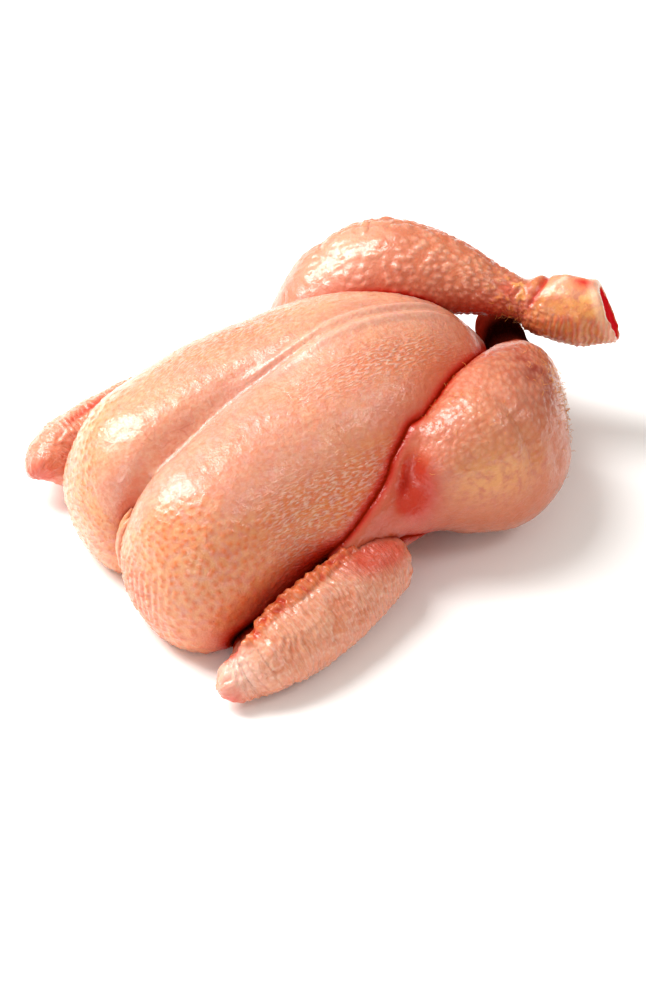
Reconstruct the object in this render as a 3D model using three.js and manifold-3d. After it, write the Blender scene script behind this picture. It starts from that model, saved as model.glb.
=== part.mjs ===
// A whole raw chicken, plucked and drawn, lying on its back with the breast up and its legs crossed.
// X runs from the neck end to the tail, Y from the bird's right side to its left, and Z is up from the table.
// The bird is one skin over many muscles, so it is described as muscles that are joined softly, and that
// one form is then covered with triangles. All sizes are millimetres, and all places are in the bird's own
// axes, which start on the table under the middle of the breast bone.

import * as THREE from 'three';
import { MarchingCubes } from 'three/addons/objects/MarchingCubes.js';
import { mergeVertices } from 'three/addons/utils/BufferGeometryUtils.js';
import Module from 'manifold-3d';

// A stretch of muscle follows stations, each [x, y, z, radius].
// The breast is the right lobe and its mirror image, and the keel bone lies in the groove between them.
const BREAST_LOBE = [
	[ - 68.5, 26, 41.5, 43 ], [ - 40, 22.5, 46.5, 44.5 ], [ - 5, 18, 52, 45 ], [ 28, 11, 56, 45.5 ],
	[ 58, 7, 57, 37 ], [ 80, 4, 57, 22 ], [ 97, 1.5, 55, 8.5 ],
];
const KEEL = [
	[ - 36, 0, 62, 19 ], [ 0, 0, 77, 19 ], [ 29, 0, 82, 19 ], [ 62, 0, 73, 17 ], [ 81, 0, 63, 13 ], [ 96, 0, 54, 7.5 ],
];
const KEEL_BLEND = 14;

// Towards the neck the breast bone bends to the right. A valley lies over it and ends in a cleft at the neck.
const NECK_BEND = { from: - 25, to: - 105, aside: 10 };
const VALLEY = { depth: 3.4, width: 8.5, fadeFrom: - 30, fadeTo: 30 };
const CLEFT = { depth: 4, width: 6, fadeFrom: - 100, fadeTo: - 80 };

// The rib cage and back, and the shoulders at the neck end, are boxes with very round sides.
const RIB_CAGE = { middle: [ 0, 0, 35 ], half: [ 92, 74, 41 ], roundness: 2.3 };
const SHOULDER = { middle: [ - 66, 30, 24 ], half: [ 44, 38, 32 ], roundness: 2.7 };
const TAIL = [ [ 80, 0, 24, 24 ], [ 104, 0, 22, 16 ], [ 122, 0, 26, 9 ] ];
const TAIL_FLATTENING = { along: [ 0, 0, 1 ], ratio: 0.75 };
const VENT = { middle: [ 104, 0, 43 ], half: [ 30, 19, 13 ] };

// Each leg is a thigh, a drumstick that crosses the middle line to its cut end, and the web of skin
// that joins the knee to the flank.
const RIGHT_LEG = {
	thigh: { middle: [ 75, - 57, 37 ], half: [ 40, 33, 34 ] },
	drumstick: [
		[ 46, - 60, 56, 24 ], [ 72, - 55, 57, 31 ], [ 99, - 38, 55, 24.5 ],
		[ 113, - 20, 52, 15.5 ], [ 121, - 4, 50, 10.5 ], [ 129, 12, 46, 10 ], [ 136, 27, 38, 11.5 ],
	],
	web: [
		[ - 26, - 66, 28, 9 ], [ - 14, - 66, 32, 11.5 ], [ - 4, - 64, 36, 13.5 ],
		[ 12, - 60, 40, 16.5 ], [ 35, - 58, 36, 19 ], [ 60, - 58, 34, 22 ],
	],
};
const LEFT_LEG = {
	thigh: { middle: [ 64, 60, 42 ], half: [ 42, 36, 42 ] },
	drumstick: [
		[ 66, 66, 67, 24 ], [ 84, 54, 75, 28 ], [ 104, 32, 80.5, 19.5 ], [ 120, 12, 78, 12.5 ],
		[ 131, 0, 75, 10.5 ], [ 142, - 10.5, 73, 15.5 ], [ 153, - 20, 72.5, 17 ], [ 167, - 31, 72, 14.5 ],
	],
	web: [ [ 0, 54, 36, 18 ], [ 35, 58, 28, 22 ], [ 60, 60, 28, 24 ] ],
};
const LEFT_HOCK_CUT = { through: [ 164, - 28, 72 ], facing: [ 0.77, - 0.5, 0.38 ], size: 80 };
const RIGHT_HOCK_CUT = { through: [ 138, 30, 36 ], facing: [ 0.35, 0.75, - 0.56 ], size: 36 };

// Each wing is folded flat on the table: the upper arm against the ribs, the forearm outside it,
// and the web of skin and the wing tip tucked in between.
const RIGHT_WING = {
	upperArm: [ [ - 72, - 58, 13, 12 ], [ - 40, - 66, 13, 12 ], [ - 8, - 74, 19, 12 ] ],
	forearm: [
		[ - 93, - 98, 12, 10 ], [ - 84, - 98.5, 14, 12 ], [ - 74, - 99, 18.5, 15.5 ],
		[ - 50, - 95, 22, 18.5 ], [ - 25, - 87, 24, 18.5 ], [ - 6, - 80.5, 24, 16.5 ],
	],
	flattening: { along: [ 0, - 0.75, 0.66 ], ratio: 0.7 },
	web: [ [ - 82, - 88, 8, 8 ], [ - 70, - 76, 9, 9 ], [ - 50, - 80, 12, 11 ] ],
};
const LEFT_WING = {
	upperArm: [ [ - 76, 58, 20, 17 ], [ - 40, 68, 20, 15 ], [ - 5, 76, 22, 13 ] ],
	forearm: [
		[ - 102, 72, 22, 11.5 ], [ - 90, 79, 24, 15.5 ], [ - 65, 84, 25, 17 ],
		[ - 35, 85, 26, 17 ], [ - 5, 80, 25, 15 ],
	],
	flattening: { along: [ 0, 0.75, 0.66 ], ratio: 0.7 },
	web: [ [ - 92, 68, 18, 10 ], [ - 78, 66, 14, 12 ], [ - 50, 76, 14, 11 ] ],
};

// How far the fillet reaches where two muscles meet: wide inside a limb, narrow in a crease of skin.
const BLEND = { breast: 10, shoulder: 12, thigh: 12, web: 11, wing: 4, wingWeb: 6, crease: 5, tableEdge: 3 };

// The flat that the bird rests on, and the middle of its footprint, which becomes the part's origin.
const TABLE = 0;
const TABLE_CUT = { through: [ 30.1, - 5.9, 0 ], facing: [ 0, 0, - 1 ], size: 360 };
const SAG = 0.5;
const FOOTPRINT_MIDDLE = [ 30.1, - 5.9 ];

// The grid that the triangles are made on, and how far they are then evened out.
const CELL = 6.1;
const CELLS = 58;
const GRID_MIDDLE = [ 30, - 7, 56 ];
const MOST_TRIANGLES = 30000;
const EVENING_ROUNDS = 8;
const EVENING_SHARE = 0.5;
const PROBE = 0.5;

const SKIN = { color: 0xe3a790, roughness: 0.42, metalness: 0 };

// Distances are below zero inside the form.
function softJoin( a, b, reach ) {

	const overlap = Math.max( reach - Math.abs( a - b ), 0 );
	return Math.min( a, b ) - overlap * overlap / ( 4 * reach );

}

function softCut( a, b, reach ) {

	return - softJoin( - a, - b, reach );

}

// One value of a smooth curve between the stations b and c, a share t of the way from b to c.
function between( a, b, c, d, t ) {

	const bend = 2 * a - 5 * b + 4 * c - d;
	const twist = 3 * b - 3 * c + d - a;
	return 0.5 * ( 2 * b + ( c - a ) * t + bend * t * t + twist * t * t * t );

}

// The stations of a limb, filled in with more balls on the smooth curve through them.
function balls( stations, steps = 5 ) {

	const last = stations.length - 1;
	const beyond = ( end, next ) => end.map( ( value, i ) => 2 * value - next[ i ] );
	const row = [
		beyond( stations[ 0 ], stations[ 1 ] ), ...stations, beyond( stations[ last ], stations[ last - 1 ] ),
	];
	const filled = [];
	for ( let i = 1; i <= last; i ++ ) {

		for ( let step = 0; step < steps; step ++ ) {

			const blend = ( value, k ) => between( row[ i - 1 ][ k ], value, row[ i + 1 ][ k ], row[ i + 2 ][ k ], step / steps );
			filled.push( row[ i ].map( blend ) );

		}

	}

	filled.push( stations[ last ] );
	return filled;

}

// A limb is the skin round a chain of balls. A flattened limb is thinner along one direction.
function limb( stations, flattening = { along: [ 0, 0, 1 ], ratio: 1 } ) {

	const along = new THREE.Vector3( ...flattening.along ).normalize();
	const stretch = 1 / flattening.ratio - 1;
	const widen = ( point ) => point.addScaledVector( along, stretch * point.dot( along ) );
	const chain = balls( stations ).map( ( [ x, y, z, radius ] ) => ( { at: widen( new THREE.Vector3( x, y, z ) ), radius } ) );
	const bones = chain.slice( 1 ).map( ( ball, i ) => {

		const run = ball.at.clone().sub( chain[ i ].at );
		return { from: chain[ i ].at, run, square: run.lengthSq(), radius: chain[ i ].radius, growth: ball.radius - chain[ i ].radius };

	} );
	const point = new THREE.Vector3();
	const offset = new THREE.Vector3();
	return ( p ) => {

		widen( point.copy( p ) );
		let nearest = Infinity;
		for ( const bone of bones ) {

			offset.subVectors( point, bone.from );
			const share = THREE.MathUtils.clamp( offset.dot( bone.run ) / bone.square, 0, 1 );
			const away = offset.addScaledVector( bone.run, - share ).length();
			nearest = Math.min( nearest, away - bone.radius - share * bone.growth );

		}

		return nearest * flattening.ratio;

	};

}

// An egg-shaped muscle.
function egg( { middle, half } ) {

	return ( p ) => {

		const x = p.x - middle[ 0 ], y = p.y - middle[ 1 ], z = p.z - middle[ 2 ];
		const size = Math.hypot( x / half[ 0 ], y / half[ 1 ], z / half[ 2 ] );
		const slope = Math.hypot( x / half[ 0 ] ** 2, y / half[ 1 ] ** 2, z / half[ 2 ] ** 2 );
		return size * ( size - 1 ) / Math.max( slope, 1e-9 );

	};

}

// A box with sides as round as its roundness says: 2 is an egg, and more is squarer.
function roundBox( { middle, half, roundness } ) {

	return ( p ) => {

		const away = [ p.x, p.y, p.z ].map( ( value, i ) => Math.abs( value - middle[ i ] ) / half[ i ] + 1e-6 );
		const sum = away.reduce( ( total, value ) => total + value ** roundness, 0 );
		const size = sum ** ( 1 / roundness );
		const slope = Math.hypot( ...away.map( ( value, i ) => value ** ( roundness - 1 ) / half[ i ] ) );
		return ( size - 1 ) / ( slope * sum ** ( 1 / roundness - 1 ) );

	};

}

// The trunk: breast, ribs, shoulders, keel, tail and the hollow of the vent behind the breast.
function trunk() {

	const lobe = limb( BREAST_LOBE );
	const ribs = roundBox( RIB_CAGE );
	const shoulder = roundBox( SHOULDER );
	const keel = limb( KEEL );
	const tail = limb( TAIL, TAIL_FLATTENING );
	const vent = egg( VENT );
	const folded = new THREE.Vector3();
	const smoothstep = THREE.MathUtils.smoothstep;
	const trough = ( { depth, width, fadeFrom, fadeTo }, x, aside ) =>
		depth * ( 1 - smoothstep( x, fadeFrom, fadeTo ) ) * Math.exp( - ( ( aside / width ) ** 2 ) );
	return ( p ) => {

		const aside = p.y + NECK_BEND.aside * smoothstep( - p.x, - NECK_BEND.from, - NECK_BEND.to );
		folded.set( p.x, Math.abs( aside ), p.z );
		let form = softJoin( lobe( folded ), ribs( p ), BLEND.breast );
		form = softJoin( form, shoulder( folded ), BLEND.shoulder );
		form = softJoin( form, keel( p ), KEEL_BLEND );
		form += trough( VALLEY, p.x, aside ) + trough( CLEFT, p.x, aside );
		form = softJoin( form, tail( p ), BLEND.breast );
		return softCut( form, - vent( p ), BLEND.wingWeb );

	};

}

function leg( { thigh, drumstick, web } ) {

	const upper = egg( thigh );
	const lower = limb( drumstick );
	const skin = limb( web );
	return ( p ) => softJoin( softJoin( upper( p ), lower( p ), BLEND.thigh ), skin( p ), BLEND.web );

}

function wing( { upperArm, forearm, flattening, web } ) {

	const upper = limb( upperArm );
	const lower = limb( forearm, flattening );
	const skin = limb( web );
	return ( p ) => softJoin( softJoin( upper( p ), lower( p ), BLEND.wing ), skin( p ), BLEND.wingWeb );

}

// The whole bird, with the skin creased where the legs and wings lie on the trunk.
function bird() {

	const parts = [ leg( RIGHT_LEG ), leg( LEFT_LEG ), wing( RIGHT_WING ), wing( LEFT_WING ) ];
	const core = trunk();
	return ( p ) => {

		const form = parts.reduce( ( joined, part ) => softJoin( joined, part( p ), BLEND.crease ), core( p ) );
		return softCut( form, TABLE - SAG - p.z, BLEND.tableEdge );

	};

}

// Triangles over the form, from a grid of its distances.
function cover( form ) {

	const grid = new MarchingCubes( CELLS, new THREE.Material(), false, false, MOST_TRIANGLES );
	grid.isolation = 0;
	const place = ( index, axis ) => GRID_MIDDLE[ axis ] + ( index - CELLS / 2 ) * CELL;
	const p = new THREE.Vector3();
	for ( let k = 0; k < CELLS; k ++ ) {

		for ( let j = 0; j < CELLS; j ++ ) {

			for ( let i = 0; i < CELLS; i ++ ) {

				p.set( place( i, 0 ), place( j, 1 ), place( k, 2 ) );
				grid.field[ i + CELLS * ( j + CELLS * k ) ] = - form( p );

			}

		}

	}

	grid.update();
	const corners = grid.positionArray.slice( 0, grid.count * 3 );
	const loose = new THREE.BufferGeometry().setAttribute( 'position', new THREE.BufferAttribute( corners, 3 ) );
	return mergeVertices( loose.scale( ...Array( 3 ).fill( CELL * CELLS / 2 ) ).translate( ...GRID_MIDDLE ), 1e-3 );

}

// Moves each corner towards the middle of its neighbours, and then straight back on to the form.
function evenOut( geometry, form ) {

	const position = geometry.getAttribute( 'position' );
	const neighbours = Array.from( { length: position.count }, () => new Set() );
	const index = geometry.index.array;
	for ( let t = 0; t < index.length; t += 3 ) {

		for ( let side = 0; side < 3; side ++ ) {

			neighbours[ index[ t + side ] ].add( index[ t + ( side + 1 ) % 3 ] ).add( index[ t + ( side + 2 ) % 3 ] );

		}

	}

	const axes = [ new THREE.Vector3( PROBE, 0, 0 ), new THREE.Vector3( 0, PROBE, 0 ), new THREE.Vector3( 0, 0, PROBE ) ];
	const probe = new THREE.Vector3();
	const slope = ( p ) => new THREE.Vector3( ...axes.map( ( axis ) =>
		( form( probe.copy( p ).add( axis ) ) - form( probe.copy( p ).sub( axis ) ) ) / ( 2 * PROBE ) ) );
	for ( let round = 0; round < EVENING_ROUNDS; round ++ ) {

		const moved = neighbours.map( ( around, i ) => {

			const from = new THREE.Vector3().fromBufferAttribute( position, i );
			const middle = new THREE.Vector3();
			for ( const j of around ) middle.add( probe.fromBufferAttribute( position, j ) );
			middle.divideScalar( around.size );
			const at = from.lerp( middle, EVENING_SHARE );
			const out = slope( at );
			return at.addScaledVector( out, - form( at ) / Math.max( out.lengthSq(), 0.25 ) );

		} );
		moved.forEach( ( p, i ) => position.setXYZ( i, p.x, p.y, p.z ) );

	}

	return geometry;

}

const wasm = await Module();
wasm.setup();

function solid( geometry ) {

	const bare = geometry.clone().deleteAttribute( 'normal' ).deleteAttribute( 'uv' );
	const { attributes, index } = mergeVertices( bare, 1e-3 );
	return new wasm.Manifold( new wasm.Mesh( {
		numProp: 3, vertProperties: attributes.position.array, triVerts: new Uint32Array( index.array ),
	} ) );

}

// A block that takes away everything on the far side of a flat cut.
function knife( { through, facing, size } ) {

	const turn = new THREE.Quaternion().setFromUnitVectors(
		new THREE.Vector3( 0, 0, 1 ), new THREE.Vector3( ...facing ).normalize(),
	);
	const block = new THREE.BoxGeometry( size, size, size ).translate( 0, 0, size / 2 );
	return solid( block.applyQuaternion( turn ).translate( ...through ) );

}

// The bird's skin, cut flat where it rests and at both hocks.
function chicken() {

	const form = bird();
	let whole = solid( evenOut( cover( form ), form ) );
	for ( const cut of [ LEFT_HOCK_CUT, RIGHT_HOCK_CUT, TABLE_CUT ] ) whole = whole.subtract( knife( cut ) );
	const { vertProperties, triVerts } = whole.getMesh();
	const geometry = new THREE.BufferGeometry();
	geometry.setAttribute( 'position', new THREE.BufferAttribute( vertProperties, 3 ) );
	geometry.setIndex( new THREE.BufferAttribute( triVerts, 1 ) );
	geometry.translate( - FOOTPRINT_MIDDLE[ 0 ], - FOOTPRINT_MIDDLE[ 1 ], - TABLE );
	geometry.computeVertexNormals();
	const mesh = new THREE.Mesh( geometry, new THREE.MeshStandardMaterial( SKIN ) );
	mesh.name = 'chicken';
	return mesh;

}

const group = new THREE.Group();
group.add( chicken() );

export default group;
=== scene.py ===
import math

import bpy
import numpy as np
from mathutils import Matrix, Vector, noise


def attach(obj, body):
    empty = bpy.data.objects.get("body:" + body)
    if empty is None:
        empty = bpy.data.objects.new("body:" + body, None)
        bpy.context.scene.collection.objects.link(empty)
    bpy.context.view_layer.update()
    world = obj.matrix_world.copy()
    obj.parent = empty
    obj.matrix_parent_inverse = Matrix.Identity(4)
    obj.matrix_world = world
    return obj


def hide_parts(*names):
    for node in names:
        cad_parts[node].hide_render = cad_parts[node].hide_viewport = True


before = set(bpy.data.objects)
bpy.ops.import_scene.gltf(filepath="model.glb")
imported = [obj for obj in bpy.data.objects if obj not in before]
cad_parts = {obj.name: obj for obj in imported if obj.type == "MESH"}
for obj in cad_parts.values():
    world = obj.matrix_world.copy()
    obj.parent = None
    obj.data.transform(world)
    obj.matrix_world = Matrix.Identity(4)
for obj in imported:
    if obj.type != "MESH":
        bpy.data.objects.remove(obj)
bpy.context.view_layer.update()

# The trunk: breast, ribs, shoulders and tail of a plucked and drawn bird that lies on its back. It is
# meat on bone, so its form is given as muscles joined softly, in millimetres from a point on the table
# under the breast. Its skin is laid last, because the creases in it follow the legs and the wings.


def soft_join(a, b, reach):
    """Two forms grown together. A form gives each point's distance from the skin, below 0 inside."""
    overlap = np.maximum(reach - np.abs(a - b), 0.0)
    return np.minimum(a, b) - overlap * overlap / (4 * reach)


def soft_cut(a, b, reach):
    """What two forms have in common, with a rounded edge."""
    return -soft_join(-a, -b, reach)


def smooth_step(value, low, high):
    """0 below the low value, 1 above the high one, with a smooth rise between them."""
    share = np.clip((value - low) / (high - low), 0.0, 1.0)
    return share * share * (3 - 2 * share)


def bell(distance, width):
    """1 where the distance is 0, fading to both sides."""
    return np.exp(-((distance / width) ** 2))


class Limb:
    """A stretch of muscle or bone: a smooth curve through stations of x, y, z and radius.

    It can be thinner across one direction, such as a wing that is folded flat."""

    STEPS = 4           # straight pieces in each span, for the first search of the nearest place
    SEARCHES = 2        # rounds that then bring that place closer
    MARGIN = 22.0       # beyond this far from the limb, a rough distance will do

    def __init__(self, stations, thin_along=None, thin_ratio=1.0):
        rows = np.array(stations, float)
        self.ratio = thin_ratio
        self.axis = np.zeros(3)
        if thin_along is not None:
            self.axis = np.array(thin_along, float) / np.linalg.norm(thin_along)
        rows[:, :3] = self.widen(rows[:, :3])
        self.rows = np.vstack([2 * rows[0] - rows[1], rows, 2 * rows[-1] - rows[-2]])
        self.spans = len(rows) - 1
        self.samples = np.arange(self.spans * self.STEPS + 1) / self.STEPS
        self.knots = self.at(self.samples)[0]
        reach = self.knots[:, 3:].max() + self.MARGIN
        self.low = self.knots[:, :3].min(axis=0) - reach
        self.high = self.knots[:, :3].max(axis=0) + reach

    def widen(self, points):
        """Points stretched across the thin direction, where the limb is round."""
        return points + (1 / self.ratio - 1) * (points @ self.axis)[:, None] * self.axis

    def at(self, where):
        """Place and radius on the curve, and how fast both change."""
        span = np.clip(np.floor(where).astype(int), 0, self.spans - 1)
        t = (where - span)[:, None]
        a, b, c, d = (self.rows[span + i] for i in range(4))
        bend = 2 * a - 5 * b + 4 * c - d
        twist = 3 * b - 3 * c + d - a
        place = 0.5 * (2 * b + (c - a) * t + bend * t**2 + twist * t**3)
        speed = 0.5 * ((c - a) + 2 * bend * t + 3 * twist * t**2)
        return place, speed

    def nearest(self, points):
        """Where along the curve each point's skin lies, and the distance to that skin."""
        best = np.full(len(points), np.inf)
        where = np.zeros(len(points))
        for i in range(len(self.knots) - 1):
            start, run = self.knots[i], self.knots[i + 1] - self.knots[i]
            offset = points - start[:3]
            share = np.clip(offset @ run[:3] / (run[:3] @ run[:3]), 0, 1)
            away = np.linalg.norm(offset - share[:, None] * run[:3], axis=1)
            away -= start[3] + share * run[3]
            closer = away < best
            best[closer] = away[closer]
            where[closer] = self.samples[i] + share[closer] / self.STEPS
        for _ in range(self.SEARCHES):
            place, speed = self.at(where)
            offset = points - place[:, :3]
            length = np.linalg.norm(offset, axis=1)
            push = (offset * speed[:, :3]).sum(axis=1) + speed[:, 3] * length
            where = np.clip(where + push / (speed[:, :3] ** 2).sum(axis=1), 0, self.spans)
        place, _ = self.at(where)
        return where, np.linalg.norm(points - place[:, :3], axis=1) - place[:, 3]

    def __call__(self, points):
        wide = self.widen(points)
        beyond = np.maximum(np.maximum(self.low - wide, wide - self.high), 0)
        distance = np.linalg.norm(beyond, axis=1) + self.MARGIN
        inside = distance <= self.MARGIN
        if inside.any():
            distance[inside] = self.nearest(wide[inside])[1]
        return distance * self.ratio

    def girth(self, points):
        """Millimetres along the limb, and the angle round it from straight up."""
        wide = self.widen(points)
        where, _ = self.nearest(wide)
        place, speed = self.at(where)
        forward = speed[:, :3] / np.linalg.norm(speed[:, :3], axis=1)[:, None]
        side = np.cross(forward, [0.0, 0.0, 1.0])
        side /= np.linalg.norm(side, axis=1)[:, None]
        above = np.cross(side, forward)
        offset = wide - place[:, :3]
        lengths = np.linalg.norm(np.diff(self.knots[:, :3], axis=0), axis=1)
        travelled = np.concatenate([[0], np.cumsum(lengths)])
        angle = np.arctan2((offset * side).sum(axis=1), (offset * above).sum(axis=1))
        return np.interp(where, self.samples, travelled), angle

    def from_middle(self, points):
        """From the nearest place on the limb's middle line to each point."""
        return points - self.at(self.nearest(points)[0])[0][:, :3]


def egg(points, middle, half):
    """An egg-shaped form, given by its middle and its half sizes."""
    offset = points - middle
    size = np.linalg.norm(offset / half, axis=1)
    slope = np.linalg.norm(offset / np.square(half), axis=1)
    return size * (size - 1) / np.maximum(slope, 1e-9)


def round_box(points, middle, half, power):
    """A form between an egg and a box: power 2 gives the egg, and a higher one squares it up."""
    away = np.abs(points - middle) / half + 1e-6
    total = (away**power).sum(axis=1)
    slope = np.linalg.norm(away ** (power - 1) / half, axis=1)
    return (total ** (1 / power) - 1) / (slope * total ** (1 / power - 1))


BREAST_LOBE = Limb([
    (-68.5, 26, 41.5, 43), (-40, 22.5, 46.5, 44.5), (-5, 18, 52, 45), (28, 11, 56, 45.5),
    (58, 7, 57, 37), (80, 4, 57, 22), (97, 1.5, 55, 8.5),
])
KEEL = Limb([
    (-36, 0, 62, 19), (0, 0, 77, 19), (29, 0, 82, 19), (62, 0, 73, 17), (81, 0, 63, 13), (96, 0, 54, 7.5),
])
RIB_CAGE = ((0, 0, 35), (92, 74, 41), 2.3)
SHOULDER = ((-66, 30, 24), (44, 38, 32), 2.7)
TAIL = Limb([(80, 0, 24, 24), (104, 0, 22, 16), (122, 0, 26, 9)], (0, 0, 1), 0.75)
VENT = ((104, 0, 43), (30, 19, 13))
TRUNK_BLEND = {"ribs": 10, "shoulder": 12, "keel": 14, "tail": 10, "vent": 6}
TABLE_EDGE = 3.0
NECK_BEND = {"from": -25, "to": -105, "aside": 10.0}
# Depth and half width of the grooves over the breast bone, and from where to where they run out.
GROOVES = ((3.4, 8.5, -30, 30), (6.5, 3.6, -100, -80))


def from_breast_bone(points):
    """How far across from the breast bone, which bends towards the right shoulder at the neck."""
    bend = smooth_step(-points[:, 0], -NECK_BEND["from"], -NECK_BEND["to"]) * NECK_BEND["aside"]
    return points[:, 1] + bend


def groove(points, aside):
    """The valley over the breast bone: a cleft at the neck that runs out in the middle of the breast."""
    total = 0
    for depth, half_width, full, gone in GROOVES:
        total = total + depth * (1 - smooth_step(points[:, 0], full, gone)) * bell(aside, half_width)
    return total


def trunk_form(points):
    """The trunk's form. The lobe, the shoulder and the keel are given once and are the same on both sides."""
    aside = from_breast_bone(points)
    folded = np.stack([points[:, 0], np.abs(aside), points[:, 2]], axis=1)
    form = soft_join(BREAST_LOBE(folded), round_box(points, *RIB_CAGE), TRUNK_BLEND["ribs"])
    form = soft_join(form, round_box(folded, *SHOULDER), TRUNK_BLEND["shoulder"])
    form = soft_join(form, KEEL(points), TRUNK_BLEND["keel"]) + groove(points, aside)
    form = soft_join(form, TAIL(points), TRUNK_BLEND["tail"])
    form = soft_cut(form, -egg(points, *VENT), TRUNK_BLEND["vent"])
    return soft_cut(form, -points[:, 2], TABLE_EDGE)


# The legs: each a thigh and a drumstick of red meat under one thick, pebbled skin, pressed against the
# trunk and grown to it. Both are cut through at the hock, and the left one is crossed over the right
# one. A loose web of skin runs from the thigh to the ribs, with a fold in it at the right knee.
RIGHT_THIGH = ((75, -57, 37), (40, 33, 34))
RIGHT_DRUMSTICK = Limb([
    (46, -60, 56, 24), (72, -55, 57, 31), (99, -38, 55, 24.5), (113, -20, 52, 15.5), (121, -4, 50, 10.5),
    (129, 12, 46, 10), (136, 27, 38, 11.5),
])
RIGHT_KNEE_WEB = Limb([
    (-26, -66, 28, 9), (-14, -66, 32, 11.5), (-4, -64, 36, 13.5), (12, -60, 40, 16.5), (35, -58, 36, 19),
    (60, -58, 34, 22),
])
KNEE_FOLD = Limb([
    (29, -53, 72, 4.0), (19, -58.5, 66.5, 3.6), (12, -63, 60, 3.4), (3, -68, 53.5, 3.2),
    (-4.5, -70, 49.5, 3.0), (-14.3, -72.5, 42.5, 2.8), (-24, -73.5, 36.5, 2.6),
])
# Each cut goes through a point and faces outwards. Its edge is rounded, and raw meat shows on it up to
# so many millimetres from the bone's middle line, with the skin's rim round it.
RIGHT_HOCK_CUT = {"through": (138, 30, 36), "facing": (0.35, 0.75, -0.56), "edge": 1.0, "meat": 8.0}
LEFT_THIGH = ((64, 60, 42), (42, 36, 42))
LEFT_DRUMSTICK = Limb([
    (66, 66, 67, 24), (84, 54, 75, 28), (104, 32, 80.5, 19.5), (120, 12, 78, 12.5),
    (131, 0, 75, 10.5), (142, -10.5, 73, 15.5), (153, -20, 72.5, 17), (167, -31, 72, 14.5),
])
LEFT_KNEE_WEB = Limb([(0, 54, 36, 18), (35, 58, 28, 22), (60, 60, 28, 24)])
LEFT_HOCK_CUT = {"through": (164, -28, 72), "facing": (0.77, -0.5, 0.38), "edge": 2.6, "meat": 11.5}
TENDON = Limb([(137, -13, 84, 0.4), (141, -13, 87.5, 0.4), (146, -13.5, 89, 0.4)])
LEG_BLEND = {"thigh": 12, "web": 11, "fold": 8}


def past_cut(points, cut):
    """How far each point lies beyond a cut, in millimetres."""
    facing = np.array(cut["facing"])
    return (points - cut["through"]) @ (facing / np.linalg.norm(facing))


def leg_form(points, thigh, drumstick, web):
    form = soft_join(egg(points, *thigh), drumstick(points), LEG_BLEND["thigh"])
    return soft_join(form, web(points), LEG_BLEND["web"])


def right_leg_form(points):
    form = leg_form(points, RIGHT_THIGH, RIGHT_DRUMSTICK, RIGHT_KNEE_WEB)
    form = soft_join(form, KNEE_FOLD(points), LEG_BLEND["fold"])
    return soft_cut(form, past_cut(points, RIGHT_HOCK_CUT), RIGHT_HOCK_CUT["edge"])


def left_leg_form(points):
    form = leg_form(points, LEFT_THIGH, LEFT_DRUMSTICK, LEFT_KNEE_WEB)
    return soft_cut(form, past_cut(points, LEFT_HOCK_CUT), LEFT_HOCK_CUT["edge"])


TUCK = 3.5


def lying(form, hold, tuck):
    """A form pressed flat where it meets the table, and ended just inside what holds it."""

    def pressed(points):
        cut = soft_cut(form(points), -points[:, 2], TABLE_EDGE)
        return np.maximum(cut, -(hold(points) + tuck))

    return pressed


COARSE = 4           # fine cells along each cell of the first, coarse grid
BAND = 3.2           # the form is worked out afresh this many fine cells to each side of the skin
EVENINGS = 3         # rounds that even out the net
PULL = 0.5           # how far each round moves a point towards the middle of its neighbours
LEAST_SLOPE = 0.25   # keeps a point from jumping where two muscles meet
NET_PROBE = 0.15     # how far to each side a slope is measured while evening out, in millimetres
SKIN_PROBE = 0.3     # and for the direction that the skin faces


def finer(values, axis):
    """Fills in a grid between its values, in a straight line along one axis."""
    rows = np.moveaxis(values, axis, 0)
    steps = [rows[:-1] + (rows[1:] - rows[:-1]) * (i / COARSE) for i in range(COARSE)]
    filled = np.stack(steps, axis=1).reshape((-1,) + rows.shape[1:])
    return np.moveaxis(np.concatenate([filled, rows[-1:]]), 0, axis)


def slope_of(form, points, probe):
    """Which way the form's skin faces at each point, not yet of length one."""
    slope = np.empty_like(points)
    for axis in range(3):
        shift = np.zeros(3)
        shift[axis] = probe
        slope[:, axis] = (form(points + shift) - form(points - shift)) / (2 * probe)
    return slope


def grid_over(form, low, high, step):
    """The form's value at each corner of a grid, exact near the skin and filled in elsewhere."""
    coarse_step = COARSE * step
    counts = np.ceil((np.array(high) - low) / coarse_step).astype(int) + 1
    places = np.stack(np.meshgrid(*[np.arange(n) for n in counts], indexing="ij"), axis=-1)
    grid = form(low + places.reshape(-1, 3) * coarse_step).reshape(counts)
    for axis in range(3):
        grid = finer(grid, axis)
    near = np.argwhere(np.abs(grid) < BAND * step)
    grid[tuple(near.T)] = form(low + near * step)
    return grid


def evened_out(points, quads, form):
    """The net drawn even, with its points set back on the form's skin after each round."""
    ends = quads[:, [1, 2, 3, 0]].ravel()
    starts = quads.ravel()
    count = np.bincount(starts, minlength=len(points)) + np.bincount(ends, minlength=len(points))
    for _ in range(EVENINGS):
        sums = [
            np.bincount(starts, values[ends], len(points)) + np.bincount(ends, values[starts], len(points))
            for values in points.T
        ]
        middle = np.stack(sums, axis=1) / count[:, None]
        points = points + PULL * (middle - points)
        slope = slope_of(form, points, NET_PROBE)
        points = points - slope * (form(points) / np.maximum((slope**2).sum(axis=1), LEAST_SLOPE))[:, None]
    return points


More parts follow.
